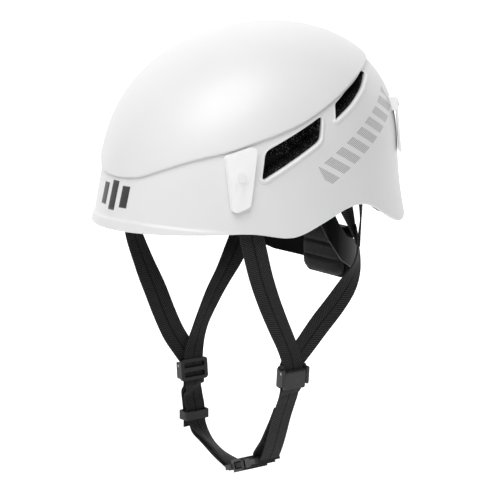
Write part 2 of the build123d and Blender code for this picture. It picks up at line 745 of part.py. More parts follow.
# ---- chin straps and buckle -------------------------------------------------
BUCKLE = Plane(origin=BUCKLE_AT, x_dir=BUCKLE_AXIS, z_dir=(-BUCKLE_AXIS[2], 0, BUCKLE_AXIS[0]))


def chin_web(points, name, centre_y, width=WEB_W):
    """Webbing whose width runs fore and aft, along a centre line given as (x, z)."""
    with BuildPart() as strap:
        with BuildSketch(Plane.XZ.offset(-centre_y - width / 2)):
            with BuildLine():
                Spline(*points)
            trace(line_width=WEB_T)
        extrude(amount=width)
    write(strap, name)


def make_chin_straps():
    left_line = [(64, -139), (59, -148), (50, -165), (39, -186), (29.9, -200.6)]
    right_line = [(-69, -157), (-74, -171), (-74.5, -187), (-62, -204.5), (-45, -213), (-22.6, -222.2)]
    tail_line = [(-73.6, -158), (-78.6, -171), (-78.6, -187), (-77.4, -197)]
    chin_web(left_line, "chin_strap_left", -13)
    chin_web(right_line, "chin_strap_right", -13)
    chin_web(tail_line, "strap_tail", -14)
    with BuildPart() as keeper:
        with BuildSketch(Plane.XY.offset(-191)):
            with Locations((-76.6, -14.2)):
                RectangleRounded(12.5, WEB_W + 5, 2.4)
                RectangleRounded(10.1, WEB_W + 2.6, 1.2, mode=Mode.SUBTRACT)
        extrude(amount=8)
    write(keeper, "strap_keeper")


def make_buckle():
    half = BUCKLE_W / 2
    wall = 2.3
    plate_in = BUCKLE_T / 2 - wall
    with BuildPart() as socket:
        for low in (-BUCKLE_T / 2, plate_in):
            with BuildSketch(BUCKLE.offset(low)):
                with Locations((-4, 0)):
                    RectangleRounded(20, BUCKLE_W, 4)
            extrude(amount=wall)
        with BuildSketch(BUCKLE.offset(-plate_in - 0.1)):
            with Locations((-12, 0)):
                Rectangle(4, BUCKLE_W - 2)
            with Locations((4, half - 1.35), (4, -half + 1.35)):
                Rectangle(3.4, 2.3)
        extrude(amount=2 * plate_in + 0.2)
        with BuildSketch(BUCKLE.offset(-2.2)):
            with Locations((-18.5, 0)):
                RectangleRounded(13, BUCKLE_W, 3)
            with Locations((-19, 0)):
                RectangleRounded(4.4, WEB_W + 1, 1, mode=Mode.SUBTRACT)
        extrude(amount=4.4)
    write(socket, "buckle_socket")

    pivot_u, pivot_v = 9.5, 8.3
    with BuildPart() as plug:
        with BuildSketch(BUCKLE.offset(-4)):
            with Locations((12.4, 0)):
                RectangleRounded(11.6, BUCKLE_W, 3)
        extrude(amount=8)
        with BuildSketch(BUCKLE.offset(-2.2)):
            with Locations((19.5, 0)):
                RectangleRounded(13, BUCKLE_W, 3)
            with Locations((21, 0)):
                RectangleRounded(4.4, WEB_W + 1, 1, mode=Mode.SUBTRACT)
        extrude(amount=4.4)
        with BuildSketch(BUCKLE.offset(-2.4)):
            with Locations((0, 0)):
                Rectangle(16, 4.4)
        extrude(amount=4.8)
        with BuildSketch(BUCKLE.offset(-2.7)):
            for v in (pivot_v, -pivot_v):
                with Locations((pivot_u, v)):
                    Circle(1.85)
                with Locations((pivot_u - 3, v)):
                    Rectangle(6, 5.6)
        extrude(amount=5.4, mode=Mode.SUBTRACT)
    write(plug, "buckle_plug")

    for name, v in (("front", -1), ("rear", 1)):
        with BuildPart() as prong:
            with BuildSketch(BUCKLE.offset(-2.4)):
                with Locations((pivot_u, v * pivot_v)):
                    Circle(1.8)
                with BuildLine():
                    Polyline(
                        (pivot_u, v * 9.4), (1.6, v * 9.4), (-6.6, v * 12.6), (-8.6, v * 11.4),
                        (-9.2, v * 8.6), (-8.4, v * 7.2), (pivot_u, v * 7.2), close=True,
                    )
                make_face()
            extrude(amount=4.8)
        write(prong, f"buckle_prong_{name}")


make_outer_shell()
make_foam_liner()
make_headband_and_pads()
make_front_clips()
make_rear_clips()
make_temple_bushes()
make_arms()
make_dial()
make_nape_housing()
make_side_harness()
make_anchors()
make_adjusters()
make_chin_straps()
make_buckle()
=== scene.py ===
"""Looks of the climbing helmet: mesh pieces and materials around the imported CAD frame.

Sizes are in millimetres and turned into metres where a mesh is made. -Y is the brow and +X is
the wearer's left.
"""
import bpy
import bmesh
import json
import numpy as np
from math import cos, pi, radians, sin
from mathutils import Matrix, Vector

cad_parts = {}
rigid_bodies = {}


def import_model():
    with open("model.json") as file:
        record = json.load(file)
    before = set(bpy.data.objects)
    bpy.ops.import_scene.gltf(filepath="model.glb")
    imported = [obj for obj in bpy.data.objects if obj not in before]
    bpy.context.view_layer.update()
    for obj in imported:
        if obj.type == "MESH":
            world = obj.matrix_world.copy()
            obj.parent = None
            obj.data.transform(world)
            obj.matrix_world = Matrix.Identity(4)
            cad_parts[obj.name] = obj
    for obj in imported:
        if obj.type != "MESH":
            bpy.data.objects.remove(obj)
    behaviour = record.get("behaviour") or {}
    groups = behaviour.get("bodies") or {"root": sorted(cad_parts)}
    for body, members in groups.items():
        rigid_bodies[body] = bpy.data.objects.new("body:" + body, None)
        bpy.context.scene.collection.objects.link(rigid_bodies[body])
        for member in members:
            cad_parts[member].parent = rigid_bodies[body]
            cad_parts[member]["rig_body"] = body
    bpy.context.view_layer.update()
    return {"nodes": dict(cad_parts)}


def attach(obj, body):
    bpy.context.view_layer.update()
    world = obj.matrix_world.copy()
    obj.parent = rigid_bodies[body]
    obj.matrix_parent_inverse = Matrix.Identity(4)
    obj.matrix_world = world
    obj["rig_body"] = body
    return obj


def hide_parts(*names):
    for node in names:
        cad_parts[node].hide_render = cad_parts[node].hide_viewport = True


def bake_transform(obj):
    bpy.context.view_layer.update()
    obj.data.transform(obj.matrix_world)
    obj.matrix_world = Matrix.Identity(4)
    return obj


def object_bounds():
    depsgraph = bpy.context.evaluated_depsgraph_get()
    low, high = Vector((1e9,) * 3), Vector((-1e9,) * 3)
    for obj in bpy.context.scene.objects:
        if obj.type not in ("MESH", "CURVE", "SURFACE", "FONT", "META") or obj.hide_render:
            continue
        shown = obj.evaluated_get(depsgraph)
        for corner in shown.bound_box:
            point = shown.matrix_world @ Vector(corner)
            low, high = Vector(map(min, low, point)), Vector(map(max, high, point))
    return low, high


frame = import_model()
MM = 0.001

# ---- shell form, as in the CAD ----------------------------------------------
HALF_WIDTH, FRONT_REACH, REAR_REACH = 105.0, 152.9, 110.2
CENTRE_Y, BELT_Z, DOME_HEIGHT = 13.2, 45.1, 116.0
SQUARENESS, DOME_POWER, EGG = 2.0, 2.73, 0.07
FRONT_FLARE, REAR_FLARE = 26.0, -2.0
REAR_SKIRT, SKIRT_TOP = 17.0, 70.0
SHELL_WALL, DOME_STEP, BRIM_STEP = 2.2, 2.6, 1.2
LINER_OUT = -SHELL_WALL - 0.5    # outer face of the foam, from the outside of the shell
LINER_FACE = -19.6               # inner face of the foam
RIM_RISE = 4.0                   # height of the foam's edge above the rim line

RIM = [
    (-185, 5), (-78, 6), (-66, 4.8), (-53, 1.8), (-42, 0), (-33, 1.2), (-18, 7.4), (-0.3, 14.8), (13, 20.2),
    (26, 22.2), (35, 20.7), (45, 16.8), (60, 8.3), (74, 1.7), (84, -1.2), (95, -0.8), (103, 1), (110, 3.5),
    (118, 5.5), (130, 6.5), (160, 7),
]
CREASE = [
    (-185, 44), (-139.4, 45), (-133.7, 50), (-121, 58.7), (-105, 66.1), (-86, 71), (-67.4, 78.2),
    (-49.6, 83.9), (-26.7, 92.2), (-4.7, 102.9), (5.5, 107.9), (31, 120.7), (51.2, 128.3), (77, 135.6),
    (95, 139), (130, 142),
]
BRIM = [(-185, 14.6), (-145.6, 14.4), (-118.7, 11), (-100.3, 9.2), (-80, 6.4), (150, 6.4)]
VENT_FRONT = [(-61.5, 70.9), (-9.7, 96.4), (-14.5, 76.5), (-65.3, 46.9)]
VENT_REAR = [(4.5, 103.9), (19, 112.8), (50, 126.3), (54.4, 123.3), (41, 113.5), (21.3, 101.5), (2, 90.9)]
VENTS = {"front": (VENT_FRONT, 5), "rear": (VENT_REAR, 2)}    # outline and corner radius
CUTTER_REACH = (40, 140)         # of the vent cutters, sideways


def smooth_line(points, spread=5.0):
    """A function z(y) through points, with its corners rounded over spread mm."""
    ys, zs = np.array(points, float).T

    def line(y):
        total = 0
        for shift in (-1, -0.5, 0.5, 1):
            total = total + 0.25 * np.interp(y + shift * spread, ys, zs)
        return total
    return line


rim_z, crease_z, brim_z = smooth_line(RIM, 6), smooth_line(CREASE, 6), smooth_line(BRIM, 3)


def ring(angle, z, grow=0.0):
    """Point of the shell form at plan angle and height, moved outwards by grow; arrays work."""
    angle, z, grow = np.broadcast_arrays(np.asarray(angle, float), z, grow)
    c, s = np.cos(angle), np.sin(angle)
    rise = np.clip((z - BELT_Z) / (DOME_HEIGHT + grow), 0, 1)
    shrink = np.sqrt(np.maximum(0, 1 - rise**DOME_POWER))
    square = (np.abs(c) ** SQUARENESS + np.abs(s) ** SQUARENESS) ** (-1 / SQUARENESS)
    front = s < 0
    skirt = REAR_SKIRT * s * (2 - s) * (np.clip(SKIRT_TOP - z, 0, None) / 100) ** 2
    grow = grow + np.where(front, 0, skirt)
    reach = np.where(front, FRONT_REACH, REAR_REACH) + grow
    lean = np.where(front, -FRONT_FLARE, REAR_FLARE) * s * s * (BELT_Z - z) / 100
    x = (HALF_WIDTH + grow) * square * c * shrink * (1 - EGG * s * square)
    y = CENTRE_Y + reach * square * s * shrink + lean * shrink
    return np.stack([x, y, z], -1)


def height_on(angle, line, grow=0.0, rise=0.0):
    """Height at which the shell form meets a side-view line, for each plan angle."""
    z = np.full(np.shape(angle), 60.0)
    for _ in range(60):
        z = 0.5 * z + 0.5 * (line(ring(angle, z, grow)[..., 1]) + rise)
    return z


def plan_angle(axis, wanted, z, low, high, grow):
    """Plan angle between low and high at which the shell form reaches a wanted x or y."""
    for _ in range(40):
        middle = (low + high) / 2
        if ring(middle, z, grow)[axis] < wanted:
            low = middle
        else:
            high = middle
    return low


def step(value, low, high):
    """Smooth step from 0 at low to 1 at high."""
    t = np.clip((value - low) / (high - low), 0, 1)
    return t * t * (3 - 2 * t)


# ---- mesh helpers -----------------------------------------------------------
def add_object(name, points, faces, material=None, sharp=35.0):
    """A mesh object from points in mm."""
    mesh = bpy.data.meshes.new(name)
    mesh.from_pydata([tuple(p) for p in np.asarray(points, float) * MM], [], [tuple(f) for f in faces])
    mesh.validate()
    return add_mesh(name, mesh, material, sharp)


def add_mesh(name, mesh, material=None, sharp=35.0):
    """An object around a mesh, shaded smooth up to an angle."""
    obj = bpy.data.objects.new(name, mesh)
    bpy.context.scene.collection.objects.link(obj)
    mesh.shade_smooth()
    if sharp:
        mesh.set_sharp_from_angle(angle=radians(sharp))
    if material:
        mesh.materials.clear()
        mesh.materials.append(material)
    return obj


def grid_faces(rows, columns, closed_columns=True):
    """Quads of a grid whose points are stored row by row."""
    faces = []
    for r in range(rows - 1):
        for c in range(columns if closed_columns else columns - 1):
            a, b = r * columns + c, r * columns + (c + 1) % columns
            up = (r + 1) * columns
            faces.append((a, b, up + (c + 1) % columns, up + c))
    return faces


def apply_modifiers(obj):
    """Bake an object's modifiers into its mesh."""
    bpy.context.view_layer.update()
    graph = bpy.context.evaluated_depsgraph_get()
    mesh = bpy.data.meshes.new_from_object(obj.evaluated_get(graph))
    obj.modifiers.clear()
    obj.data = mesh
    return obj


def recalc(obj):
    """Make all faces point outwards."""
    bm = bmesh.new()
    bm.from_mesh(obj.data)
    bmesh.ops.remove_doubles(bm, verts=bm.verts, dist=1e-6)
    bmesh.ops.recalc_face_normals(bm, faces=bm.faces)
    bm.to_mesh(obj.data)
    bm.free()
    return obj


def cut(obj, cutters, sharp=35.0):
    """Subtract closed cutters from a closed mesh."""
    for cutter in cutters:
        modifier = obj.modifiers.new("cut", "BOOLEAN")
        modifier.operation = "DIFFERENCE"
        modifier.solver = "EXACT"
        modifier.object = cutter
    material = obj.data.materials[0] if obj.data.materials else None
    apply_modifiers(obj)
    for cutter in cutters:
        bpy.data.objects.remove(cutter)
    obj.data.shade_smooth()
    obj.data.set_sharp_from_angle(angle=radians(sharp))
    if material:
        obj.data.materials.clear()
        obj.data.materials.append(material)
    return obj


def thicken(obj, thickness, offset):
    """Give a sheet a wall in mm: behind its faces at offset -1, to both sides at offset 0."""
    solid = obj.modifiers.new("wall", "SOLIDIFY")
    solid.thickness, solid.offset = thickness * MM, offset
    apply_modifiers(obj)


def rounded(points, radius, steps=4):
    """A polygon with each corner replaced by a short curve."""
    points = [np.array(p, float) for p in points]
    result = []
    for i, corner in enumerate(points):
        before, after = points[i - 1], points[(i + 1) % len(points)]
        back, ahead = before - corner, after - corner
        reach = min(radius, 0.45 * np.linalg.norm(back), 0.45 * np.linalg.norm(ahead))
        start = corner + back / np.linalg.norm(back) * reach
        end = corner + ahead / np.linalg.norm(ahead) * reach
        for k in range(steps + 1):
            t = k / steps
            result.append((1 - t) ** 2 * start + 2 * t * (1 - t) * corner + t * t * end)
    return np.array(result)


def side_prism(outline, x_low, x_high):
    """Closed prism along X from an outline in the side view, as (y, z)."""
    n = len(outline)
    points = [(x, y, z) for x in (x_low, x_high) for y, z in outline]
    faces = [(i, (i + 1) % n, n + (i + 1) % n, n + i) for i in range(n)]
    faces += [tuple(range(n))[::-1], tuple(range(n, 2 * n))]
    return recalc(add_object("cutter", points, faces, sharp=0))


def both_sides(outline, x_low, x_high):
    """The same prism on the left and on the right."""
    return [side_prism(outline, x_low, x_high), side_prism(outline, -x_high, -x_low)]


def catmull(points, per_span):
    """Smooth curve through points of any dimension."""
    points = np.array(points, float)
    ends = np.vstack([2 * points[0] - points[1], points, 2 * points[-1] - points[-2]])
    result = []
    for i in range(1, len(ends) - 2):
        a, b, c, d = ends[i - 1:i + 3]
        for k in range(per_span):
            t = k / per_span
            result.append(0.5 * (2 * b + (c - a) * t + (2 * a - 5 * b + 4 * c - d) * t * t
                                 + (3 * b - a - 3 * c + d) * t ** 3))
    result.append(points[-1])
    return np.array(result)


# ---- materials --------------------------------------------------------------
class Nodes:
    """Small helper to wire a material."""

    def __init__(self, name, **shader):
        self.material = bpy.data.materials.new(name)
        self.material.use_nodes = True
        self.tree = self.material.node_tree
        self.shader = self.tree.nodes["Principled BSDF"]
        for key, value in shader.items():
            self.shader.inputs[key.replace("_", " ")].default_value = value

    def add(self, kind, inputs=(), **settings):
        """A new node with its inputs linked or set."""
        node = self.tree.nodes.new(kind)
        for key, value in settings.items():
            setattr(node, key, value)
        for key, value in dict(inputs).items():
            if isinstance(value, bpy.types.NodeSocket):
                self.tree.links.new(value, node.inputs[key])
            else:
                node.inputs[key].default_value = value
        return node

    def math(self, operation, a, b=0.0, c=0.0):
        return self.add("ShaderNodeMath", {0: a, 1: b, 2: c}, operation=operation).outputs[0]

    def place(self):
        """The point's place in the object, in metres."""
        return self.add("ShaderNodeTexCoord").outputs["Object"]

    def noise(self, scale, detail=3.0, vector=None):
        """A noise pattern's value."""
        settings = {"Vector": vector or self.place(), "Scale": scale, "Detail": detail}
        return self.add("ShaderNodeTexNoise", settings).outputs[0]

    def cells(self, place, scale, feature="F1"):
        """A cell pattern."""
        return self.add("ShaderNodeTexVoronoi", {"Vector": place, "Scale": scale}, feature=feature)

    def zigzag(self, value, per_metre):
        """A wave that runs from 0 to 1 and back."""
        turn = self.math("FRACT", self.math("MULTIPLY", value, per_metre))
        double = self.math("SUBTRACT", self.math("MULTIPLY", turn, 2.0), 1.0)
        return self.math("SUBTRACT", 1.0, self.math("ABSOLUTE", double))

    def ramp(self, value, low, high, low_at=0.0, high_at=1.0):
        node = self.add("ShaderNodeValToRGB", {"Fac": value})
        node.color_ramp.elements[0].position, node.color_ramp.elements[1].position = low_at, high_at
        node.color_ramp.elements[0].color, node.color_ramp.elements[1].color = low, high
        return node.outputs["Color"]

    def mix(self, factor, a, b):
        node = self.add("ShaderNodeMix", data_type="RGBA")
        for socket, value in (("Factor", factor), ("A", a), ("B", b)):
            target = [s for s in node.inputs if s.name == socket and s.enabled][0]
            if isinstance(value, bpy.types.NodeSocket):
                self.tree.links.new(value, target)
            else:
                target.default_value = value
        return [s for s in node.outputs if s.enabled][0]

    def colour(self, socket):
        self.tree.links.new(socket, self.shader.inputs["Base Color"])

    def roughness(self, value, low, high):
        node = self.add("ShaderNodeMapRange", {"Value": value, "To Min": low, "To Max": high})
        self.tree.links.new(node.outputs[0], self.shader.inputs["Roughness"])

    def bump(self, height, distance, strength=1.0):
        node = self.add("ShaderNodeBump", {"Height": height, "Distance": distance, "Strength": strength})
        self.tree.links.new(node.outputs[0], self.shader.inputs["Normal"])


def grey(value, tint=0.0):
    """A neutral colour, with a little blue when tinted."""
    return (value, value, value + tint, 1.0)


def white_plastic(name, value, rough):
    """Glossy white moulded plastic with a fine grain."""
    m = Nodes(name, Roughness=rough, Coat_Weight=0.25, Coat_Roughness=0.12, IOR=1.5)
    m.colour(m.ramp(m.noise(14, 2), grey(value * 0.985, 0.004), grey(value, 0.006), 0.3, 0.7))
    m.roughness(m.noise(420, 2), rough - 0.03, rough + 0.05)
    m.bump(m.noise(900, 2), 0.00002, 0.5)
    return m.material


BAND_SLOPE = (0.855, 0.518)      # direction of the printed band in the side view, as (y, z)
BAND_MIDDLE, BAND_HALF = 0.047, 0.0095
BAND_START, BAND_END = 0.014, 0.122
BLOCKS_PER_METRE, HATCHES_PER_METRE = 74.0, 720.0


def shell_plastic():
    """White moulded plastic with a printed band of fine grey hatching along each rear side."""
    m = Nodes("shell_white_plastic", Roughness=0.42, Coat_Weight=0.15, Coat_Roughness=0.3, IOR=1.5)
    place = m.place()
    axes = m.add("ShaderNodeSeparateXYZ", {0: place})
    y, z = axes.outputs[1], axes.outputs[2]
    slope_y, slope_z = BAND_SLOPE
    along = m.math("ADD", m.math("MULTIPLY", y, slope_y), m.math("MULTIPLY", z, slope_z))
    across = m.math("SUBTRACT", m.math("MULTIPLY", z, slope_y), m.math("MULTIPLY", y, slope_z))
    mask = m.math("LESS_THAN", m.math("ABSOLUTE", m.math("SUBTRACT", across, BAND_MIDDLE)), BAND_HALF)
    slant = m.math("ADD", along, m.math("MULTIPLY", across, 0.6))
    block = m.math("FRACT", m.math("MULTIPLY", slant, BLOCKS_PER_METRE))
    hatch = m.math("FRACT", m.math("MULTIPLY", across, HATCHES_PER_METRE))
    for limit in (
        m.math("GREATER_THAN", along, BAND_START), m.math("LESS_THAN", along, BAND_END),
        m.math("LESS_THAN", block, 0.62), m.math("LESS_THAN", hatch, 0.55),
        m.math("GREATER_THAN", m.math("ABSOLUTE", axes.outputs[0]), 0.03),
    ):
        mask = m.math("MULTIPLY", mask, limit)
    base = m.ramp(m.noise(12, 2, place), grey(0.81, 0.004), grey(0.83, 0.006), 0.3, 0.7)
    m.colour(m.mix(mask, base, grey(0.36, 0.005)))
    m.roughness(m.noise(380, 2, place), 0.38, 0.46)
    m.bump(m.noise(700, 2, place), 0.00002, 0.4)
    return m.material


def black_plastic(name, value, rough, grain=1100, depth=0.00003, ior=1.5):
    """Moulded black plastic whose grain also breaks up its gleam."""
    m = Nodes(name, Roughness=rough, IOR=ior)
    m.colour(m.ramp(m.noise(60, 3), grey(value * 0.8), grey(value * 1.25, 0.001), 0.3, 0.7))
    fine = m.noise(grain, 2)
    m.roughness(fine, rough - 0.06, rough + 0.08)
    m.bump(fine, depth, 0.6)
    return m.material


def beaded_foam():
    """Black expanded foam: a mosaic of beads with lighter flecks."""
    m = Nodes("beaded_foam", Roughness=0.8, Specular_IOR_Level=0.15)
    place = m.place()
    beads, flecks = 330.0, 480.0
    edge = m.cells(place, beads, "DISTANCE_TO_EDGE")
    tone = m.ramp(m.cells(place, beads).outputs["Color"], grey(0.002), grey(0.016), 0.2, 0.9)
    spots = m.math("LESS_THAN", m.cells(place, flecks).outputs["Distance"], 0.28)
    m.colour(m.mix(m.math("MULTIPLY", spots, 0.8), tone, grey(0.15)))
    m.bump(m.ramp(edge.outputs["Distance"], grey(0), grey(1), 0.0, 0.12), 0.0003, 0.8)
    return m.material


RIBS_PER_METRE, YARNS_PER_METRE = 500.0, 900.0
SEAM_HALF, SELVEDGE_FROM = 0.0006, 0.0088    # distances from the webbing's centre line


def webbing_weave(value=0.011):
    """Woven strap: diagonal ribs that meet in a V on the centre line, with selvedges."""
    m = Nodes("webbing_weave", Roughness=0.7, Sheen_Weight=0.03, Sheen_Roughness=0.4,
              Specular_IOR_Level=0.15)
    axes = m.add("ShaderNodeSeparateXYZ", {0: m.add("ShaderNodeUVMap", uv_map="UVMap").outputs[0]})
    from_middle = m.math("ABSOLUTE", axes.outputs[0])
    ribs = m.zigzag(m.math("ADD", axes.outputs[1], m.math("MULTIPLY", from_middle, 0.75)), RIBS_PER_METRE)
    yarns = m.zigzag(from_middle, YARNS_PER_METRE)
    seam = m.math("GREATER_THAN", from_middle, SEAM_HALF)
    selvedge = m.math("GREATER_THAN", from_middle, SELVEDGE_FROM)
    # the colour follows the weave's height: a painted highlight on the rib tops, and painted shade in the
    # grooves and along the centre seam
    height = m.math("ADD", m.math("MULTIPLY", ribs, 0.7), m.math("MULTIPLY", yarns, 0.3))
    height = m.math("MULTIPLY", height, m.math("ADD", 0.45, m.math("MULTIPLY", seam, 0.55)))
    tone = m.ramp(height, grey(value * 0.15), grey(value * 4.5, 0.001), 0.3, 0.8)
    lighter = m.mix(m.math("MULTIPLY", selvedge, 0.35), tone, grey(value * 2.6))
    fuzz = m.math("MULTIPLY", m.noise(2600, 2), 0.25)
    m.colour(m.mix(fuzz, lighter, grey(value * 2.4)))
    m.bump(height, 0.00035, 0.9)
    return m.material


def pad_cloth():
    """Brushed knit over foam, with the open mesh of sportswear padding."""
    m = Nodes("pad_cloth", Roughness=0.88, Sheen_Weight=0.12, Sheen_Roughness=0.5, Specular_IOR_Level=0.15)
    place = m.place()
    hole = m.cells(place, 560.0, "DISTANCE_TO_EDGE")
    mesh = m.ramp(hole.outputs["Distance"], grey(1), grey(0), 0.08, 0.32)
    fuzz = m.math("MULTIPLY", m.noise(1800, 3, place), 0.3)
    # the sunken holes of the mesh are painted darker than the raised threads round them: painted shade in the
    # holes
    m.colour(m.mix(fuzz, m.mix(mesh, grey(0.007), grey(0.03, 0.002)), grey(0.06, 0.003)))
    m.bump(mesh, 0.0003, 0.7)
    return m.material


def brushed_steel():
    """Zinc-plated steel, drawn out along one axis."""
    m = Nodes("zinc_steel", Metallic=1.0, Roughness=0.35)
    scratch = m.add("ShaderNodeMapping", {"Vector": m.place(), "Scale": (1, 40, 1)}).outputs[0]
    line = m.noise(160, 3, scratch)
    m.colour(m.ramp(line, grey(0.42), grey(0.62, 0.01), 0.3, 0.7))
    m.roughness(line, 0.28, 0.45)
    return m.material


SHELL = shell_plastic()
CLIP = white_plastic("clip_white_plastic", 0.96, 0.3)
RIVET = white_plastic("rivet_plastic", 0.88, 0.4)
BLACK = black_plastic("moulded_black_plastic", 0.012, 0.36)
CRADLE = black_plastic("cradle_black_plastic", 0.004, 0.42, 700, 0.00005, 1.16)
GLOSS = black_plastic("polished_black_plastic", 0.015, 0.16, 900, 0.00001)
KEEPER = black_plastic("keeper_rubber", 0.02, 0.6, 1500, 0.00004)
PRINT = black_plastic("printed_grey_mark", 0.055, 0.4, 900, 0.00001)
FOAM = beaded_foam()
WEB = webbing_weave()
PAD = pad_cloth()
STEEL = brushed_steel()


# ---- shell ------------------------------------------------------------------
COLUMNS = 288
ANGLES = np.arange(COLUMNS) * 2 * pi / COLUMNS


def brim_lip(points):
    """How far the lip round the brow stands out, at points of the shell."""
    y, z = points[..., 1], points[..., 2]
    return BRIM_STEP * step(brim_z(y) - z, -0.8, 1.2) * step(-y, 84, 104)


# the raised panel's step: it starts PANEL_FOOT below its line and ends PANEL_TOP above it
PANEL_FOOT, PANEL_TOP = 1.1, 1.9
PANEL_STEP = [(-0.35, 0.0), (0.0, 0.12), (0.15, 0.55), (0.45, 0.85), (1.0, 0.97), (PANEL_TOP, 1.0)]


def shell_rows(base_grow, rim_rise, step_rise, lower_rows, upper_rows, lip=False):
    """Rows of points from the rim to the crown, with the step of the raised panel."""
    low = height_on(ANGLES, rim_z, base_grow, rim_rise)
    crease = height_on(ANGLES, crease_z, base_grow, step_rise)
    rows = []
    for t in np.linspace(0, 1, lower_rows):
        z = low + (crease - PANEL_FOOT - low) * t
        points = ring(ANGLES, z, base_grow)
        if lip:
            points = ring(ANGLES, z, base_grow + brim_lip(points))
        rows.append(points)
    for offset, share in PANEL_STEP:
        rows.append(ring(ANGLES, crease + offset, base_grow + DOME_STEP * share))
    top = BELT_Z + DOME_HEIGHT + base_grow + DOME_STEP
    for t in np.linspace(0, 1, upper_rows + 1)[1:]:
        z = crease + PANEL_TOP + (top - crease - PANEL_TOP) * np.sin(t * pi / 2)
        rows.append(ring(ANGLES, np.minimum(z, top - 0.01), base_grow + DOME_STEP))
    return rows


def closed_block(name, rows, material):
    """Closed mesh from rings of points, with a fan over the last ring and over the first."""
    points = np.concatenate(rows)
    count, last = len(points), (len(rows) - 1) * COLUMNS
    faces = grid_faces(len(rows), COLUMNS)
    faces += [(last + i, last + (i + 1) % COLUMNS, count) for i in range(COLUMNS)]
    faces += [((i + 1) % COLUMNS, i, count + 1) for i in range(COLUMNS)]
    points = np.vstack([points, points[last:].mean(0), points[:COLUMNS].mean(0)])
    return recalc(add_object(name, points, faces, material))


def vent_cutters():
    """Prisms that cut the vents on both sides."""
    cutters = []
    for outline, radius in VENTS.values():
        cutters += both_sides(rounded(outline, radius), *CUTTER_REACH)
    return cutters


FACE_START = 0.9                 # height of the shell's faces above the rim line, at their lower end
INNER_PANEL_RISE = 3             # how much higher the panel's line lies on the inner face
SHELL_EDGE = [(0.0, 0.25), (0.35, 0.0), (0.72, 0.25)]    # share of the wall, height above the rim line


def make_shell():
    """Shell moulding: inner face, rounded edge and outer face in one closed form, vents cut."""
    outer = shell_rows(0, FACE_START, 0, 60, 46, lip=True)
    inner = shell_rows(-SHELL_WALL, FACE_START, INNER_PANEL_RISE, 24, 30)
    low = height_on(ANGLES, rim_z)
    lip = brim_lip(ring(ANGLES, low))
    edge = []
    for share, rise in SHELL_EDGE:
        edge.append(ring(ANGLES, low + rise, -SHELL_WALL * (1 - share) + lip * share))
    shell = closed_block("outer_shell_moulding", inner[::-1] + edge + outer, SHELL)
    cut(shell, vent_cutters())
    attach(shell, "helmet")
    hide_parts("outer_shell")


def on_shell(y, z, side, grow):
    """Point of the shell's side at a side-view place."""
    point = ring(plan_angle(1, y, z, -pi / 2, pi / 2, grow), z, grow)
    return np.array([side * point[0], point[1], point[2]])


LIP_PROFILE = [(-0.25, -1.8), (-0.25, 0.2), (0.1, 0.75), (0.9, 1.0), (1.9, 0.8), (3.0, 0.3), (4.4, -0.25)]
LIP_SPACING, LIP_WALL = 1.5, 0.4


def make_vent_lips():
    """Moulded ridge round each vent, higher along the lower edge."""
    for name, (outline, radius) in VENTS.items():
        path = rounded(outline, radius, 6)
        centre = path.mean(0)
        dense = []
        for i in range(len(path)):
            a, b = path[i], path[(i + 1) % len(path)]
            count = max(1, int(np.linalg.norm(b - a) / LIP_SPACING))
            dense += [a + (b - a) * k / count for k in range(count)]
        dense = np.array(dense)
        ahead = np.roll(dense, -1, 0) - np.roll(dense, 1, 0)
        out = np.stack([ahead[:, 1], -ahead[:, 0]], 1)
        out /= np.linalg.norm(out, axis=1)[:, None]
        if np.sum(out * (dense - centre)) < 0:
            out = -out
        low = step(-out[:, 1], -0.25, 0.6)
        for side, label in ((1, "left"), (-1, "right")):
            rows = []
            for reach, height in LIP_PROFILE:
                row = []
                for point, normal, share in zip(dense, out, low):
                    y, z = point + normal * reach * (0.45 + 0.55 * share)
                    lift = height * (0.25 + 1.35 * share) if height > 0 else height
                    row.append(on_shell(y, z, side, lift))
                rows.append(row)
            faces = grid_faces(len(rows), len(dense))
            lip = recalc(add_object(f"vent_lip_{name}_{label}", np.concatenate(rows), faces, SHELL, 60))
            thicken(lip, LIP_WALL, -1)
            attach(lip, "helmet")


# ---- liner ------------------------------------------------------------------
EDGE_ROUND = 2.2                 # height over which the foam's lower edge is rounded
GROOVE_DEPTH = 2.2
STRAP_SLOT = [(-80.5, -25), (-53.5, -25), (-53.5, 40), (-80.5, 40)]
STRAP_SLOT_REACH = (77, 84)      # sideways


def make_liner():
    """Foam block with sixteen shallow air grooves inside and the vents cut through it."""
    low_out = height_on(ANGLES, rim_z, LINER_OUT, RIM_RISE)
    low_in = height_on(ANGLES, rim_z, LINER_FACE, RIM_RISE)
    outer = shell_rows(LINER_OUT, RIM_RISE + EDGE_ROUND, 5, 14, 20)
    top = BELT_Z + DOME_HEIGHT + LINER_FACE
    groove = step(np.cos(ANGLES * 8) ** 2, 0.75, 0.95)
    inner = []
    for t in np.linspace(0, 1, 60):
        z = low_in + EDGE_ROUND + (top - 0.02 - low_in - EDGE_ROUND) * np.sin(t * pi / 2)
        depth = GROOVE_DEPTH * step(z, 30, 60) * (1 - step(z, 128, 140)) * groove
        inner.append(ring(ANGLES, z, LINER_FACE + depth))
    edge = []
    for t, rise in ((1.0, EDGE_ROUND / 2), (0.88, 0), (0.5, 0), (0.12, 0), (0.0, EDGE_ROUND / 2)):
        grow = LINER_OUT + (LINER_FACE - LINER_OUT) * t
        edge.append(ring(ANGLES, low_out * (1 - t) + low_in * t + rise, grow))
    liner = closed_block("foam_liner_block", inner[::-1] + edge + outer, FOAM)
    cut(liner, vent_cutters() + both_sides(STRAP_SLOT, *STRAP_SLOT_REACH))
    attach(liner, "helmet")
    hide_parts("foam_liner")


# ---- pads -------------------------------------------------------------------
def pad_grid(rows, columns):
    """Grid shares across and along a pad, each from -1 to 1."""
    return np.linspace(-1, 1, rows)[:, None], np.linspace(-1, 1, columns)[None, :]


def sewn(share, depth, width, crown):
    """Part of the height left by seams, which lie half-way between whole numbers of share."""
    return 1 - depth * np.exp(-((np.abs((share % 1) - 0.5)) / width) ** 2) * crown


